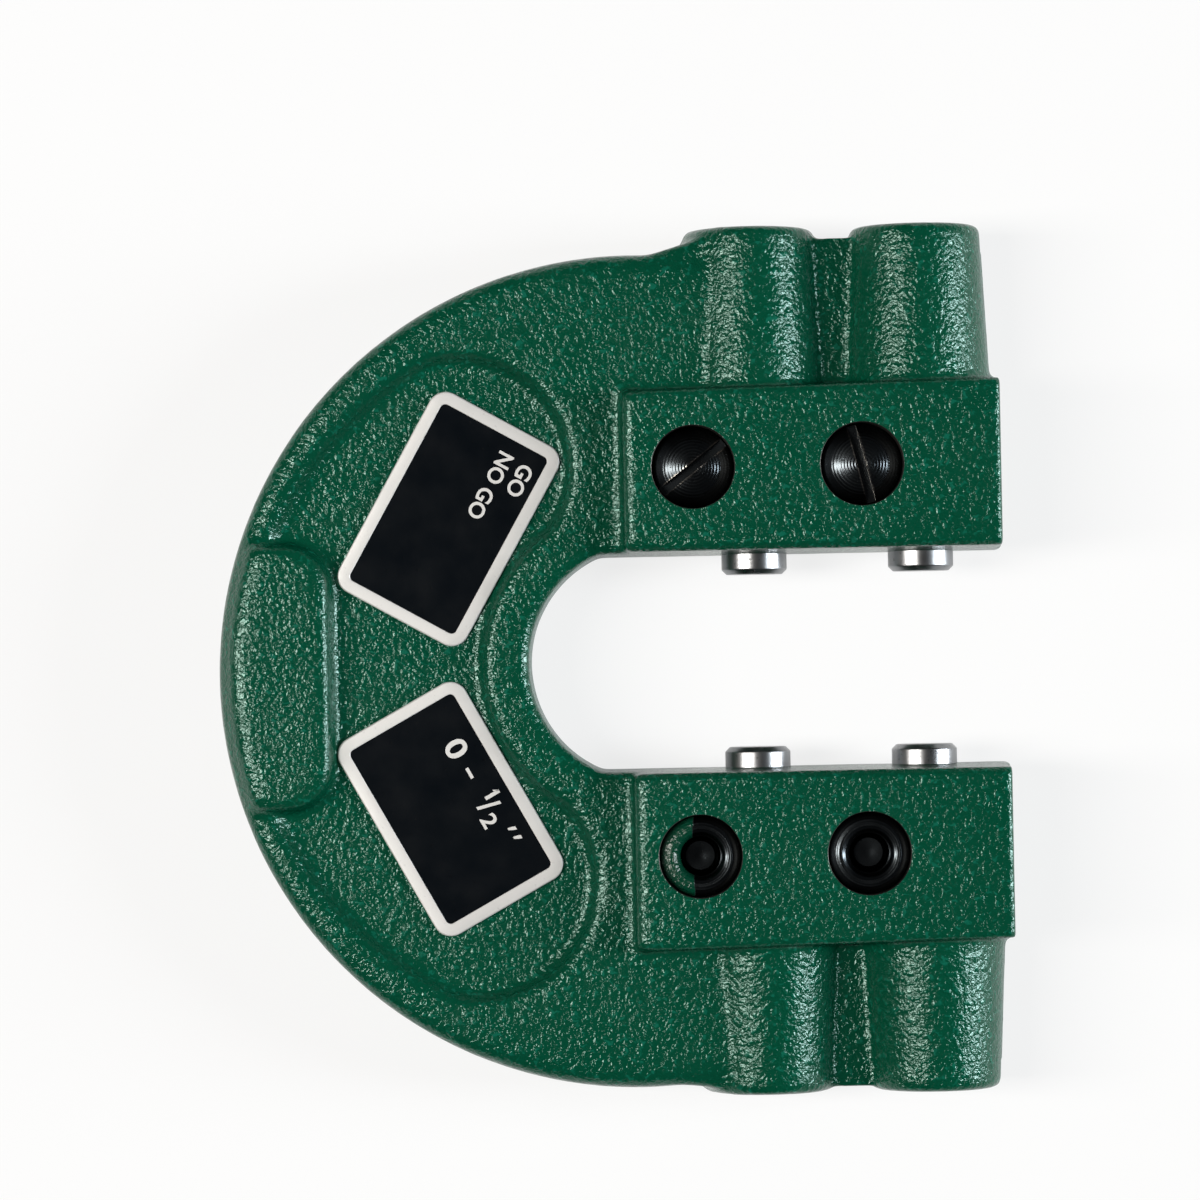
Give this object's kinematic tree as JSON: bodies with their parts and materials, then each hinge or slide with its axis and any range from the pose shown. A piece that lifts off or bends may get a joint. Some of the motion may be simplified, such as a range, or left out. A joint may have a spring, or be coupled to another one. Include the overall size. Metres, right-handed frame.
{
  "type": "snap gauge",
  "caption": "Adjustable limit snap gauge: a C-shaped green casting whose jaws hold opposed GO and NO GO gauging pins, set by screws and clamped by slotted locks.",
  "frame": {"origin": "middle of the outline, on the plane of the jaw blocks' back faces", "axes": "+X towards the open mouth, +Y towards the upper jaw, +Z out of the labelled front face"},
  "size_m": [0.0575, 0.0628, 0.0127],
  "materials": {
    "casting": "wrinkled gloss paint",
    "ground_steel": "ground",
    "black_steel": "black oxide",
    "printed_plate": "printed satin"
  },
  "bodies": {
    "frame": {"frame": "casting", "go_no_go_plate": "printed_plate", "range_plate": "printed_plate"},
    "upper_go_pin": {"upper_go_pin": "ground_steel"},
    "upper_go_adjusting_screw": {"upper_go_adjusting_screw": "black_steel"},
    "upper_go_locking_screw": {"upper_go_locking_screw": "black_steel"},
    "upper_go_locking_bush": {"upper_go_locking_bush": "black_steel"},
    "upper_no_go_pin": {"upper_no_go_pin": "ground_steel"},
    "upper_no_go_adjusting_screw": {"upper_no_go_adjusting_screw": "black_steel"},
    "upper_no_go_locking_screw": {"upper_no_go_locking_screw": "black_steel"},
    "upper_no_go_locking_bush": {"upper_no_go_locking_bush": "black_steel"},
    "lower_go_pin": {"lower_go_pin": "ground_steel"},
    "lower_go_adjusting_screw": {"lower_go_adjusting_screw": "black_steel"},
    "lower_go_locking_screw": {"lower_go_locking_screw": "black_steel"},
    "lower_go_locking_bush": {"lower_go_locking_bush": "black_steel"},
    "lower_no_go_pin": {"lower_no_go_pin": "ground_steel"},
    "lower_no_go_adjusting_screw": {"lower_no_go_adjusting_screw": "black_steel"},
    "lower_no_go_locking_screw": {"lower_no_go_locking_screw": "black_steel"},
    "lower_no_go_locking_bush": {"lower_no_go_locking_bush": "black_steel"}
  },
  "joints": [
    {"name": "upper_go_pin_slide", "type": "slide", "parent": "frame", "child": "upper_go_pin", "axis": [0, -1, 0], "range_m": [-0.0005, 0.0061]},
    {"name": "upper_go_adjusting_screw_turn", "type": "hinge", "parent": "upper_go_pin", "child": "upper_go_adjusting_screw", "pos_m": [0.0225, 0.026, 0.00635], "axis": [0, -1, 0], "range_deg": [-284, 3459]},
    {"name": "upper_go_locking_screw_turn", "type": "hinge", "parent": "frame", "child": "upper_go_locking_screw", "pos_m": [0.0181, 0.014, 0.00635], "axis": [0, 0, 1], "range_deg": [0, 270.5]},
    {"name": "upper_go_locking_bush_slide", "type": "slide", "parent": "frame", "child": "upper_go_locking_bush", "axis": [0, 0, -1], "range_m": [0, 0.00045]},
    {"name": "upper_no_go_pin_slide", "type": "slide", "parent": "frame", "child": "upper_no_go_pin", "axis": [0, -1, 0], "range_m": [-0.0005, 0.0061]},
    {"name": "upper_no_go_adjusting_screw_turn", "type": "hinge", "parent": "upper_no_go_pin", "child": "upper_no_go_adjusting_screw", "pos_m": [0.01035, 0.026, 0.00635], "axis": [0, -1, 0], "range_deg": [-284, 3459]},
    {"name": "upper_no_go_locking_screw_turn", "type": "hinge", "parent": "frame", "child": "upper_no_go_locking_screw", "pos_m": [0.00595, 0.014, 0.00635], "axis": [0, 0, 1], "range_deg": [0, 270.5]},
    {"name": "upper_no_go_locking_bush_slide", "type": "slide", "parent": "frame", "child": "upper_no_go_locking_bush", "axis": [0, 0, -1], "range_m": [0, 0.00045]},
    {"name": "lower_go_pin_slide", "type": "slide", "parent": "frame", "child": "lower_go_pin", "axis": [0, 1, 0], "range_m": [-0.0005, 0.0061]},
    {"name": "lower_go_adjusting_screw_turn", "type": "hinge", "parent": "lower_go_pin", "child": "lower_go_adjusting_screw", "pos_m": [0.0225, -0.026, 0.00635], "axis": [0, 1, 0], "range_deg": [-284, 3459]},
    {"name": "lower_go_locking_screw_turn", "type": "hinge", "parent": "frame", "child": "lower_go_locking_screw", "pos_m": [0.0181, -0.014, 0.00635], "axis": [0, 0, -1], "range_deg": [0, 270.5]},
    {"name": "lower_go_locking_bush_slide", "type": "slide", "parent": "frame", "child": "lower_go_locking_bush", "axis": [0, 0, 1], "range_m": [0, 0.00045]},
    {"name": "lower_no_go_pin_slide", "type": "slide", "parent": "frame", "child": "lower_no_go_pin", "axis": [0, 1, 0], "range_m": [-0.0005, 0.0061]},
    {"name": "lower_no_go_adjusting_screw_turn", "type": "hinge", "parent": "lower_no_go_pin", "child": "lower_no_go_adjusting_screw", "pos_m": [0.01035, -0.026, 0.00635], "axis": [0, 1, 0], "range_deg": [-284, 3459]},
    {"name": "lower_no_go_locking_screw_turn", "type": "hinge", "parent": "frame", "child": "lower_no_go_locking_screw", "pos_m": [0.00595, -0.014, 0.00635], "axis": [0, 0, -1], "range_deg": [0, 270.5]},
    {"name": "lower_no_go_locking_bush_slide", "type": "slide", "parent": "frame", "child": "lower_no_go_locking_bush", "axis": [0, 0, 1], "range_m": [0, 0.00045]}
  ],
  "couplings": [
    {"joint": "upper_go_adjusting_screw_turn", "follows": "upper_go_pin_slide", "rad_per_m": 9894.8},
    {"joint": "upper_go_locking_screw_turn", "follows": "upper_go_locking_bush_slide", "rad_per_m": 10472},
    {"joint": "upper_no_go_adjusting_screw_turn", "follows": "upper_no_go_pin_slide", "rad_per_m": 9894.8},
    {"joint": "upper_no_go_locking_screw_turn", "follows": "upper_no_go_locking_bush_slide", "rad_per_m": 10472},
    {"joint": "lower_go_adjusting_screw_turn", "follows": "lower_go_pin_slide", "rad_per_m": 9894.8},
    {"joint": "lower_go_locking_screw_turn", "follows": "lower_go_locking_bush_slide", "rad_per_m": 10472},
    {"joint": "lower_no_go_adjusting_screw_turn", "follows": "lower_no_go_pin_slide", "rad_per_m": 9894.8},
    {"joint": "lower_no_go_locking_screw_turn", "follows": "lower_no_go_locking_bush_slide", "rad_per_m": 10472}
  ]
}
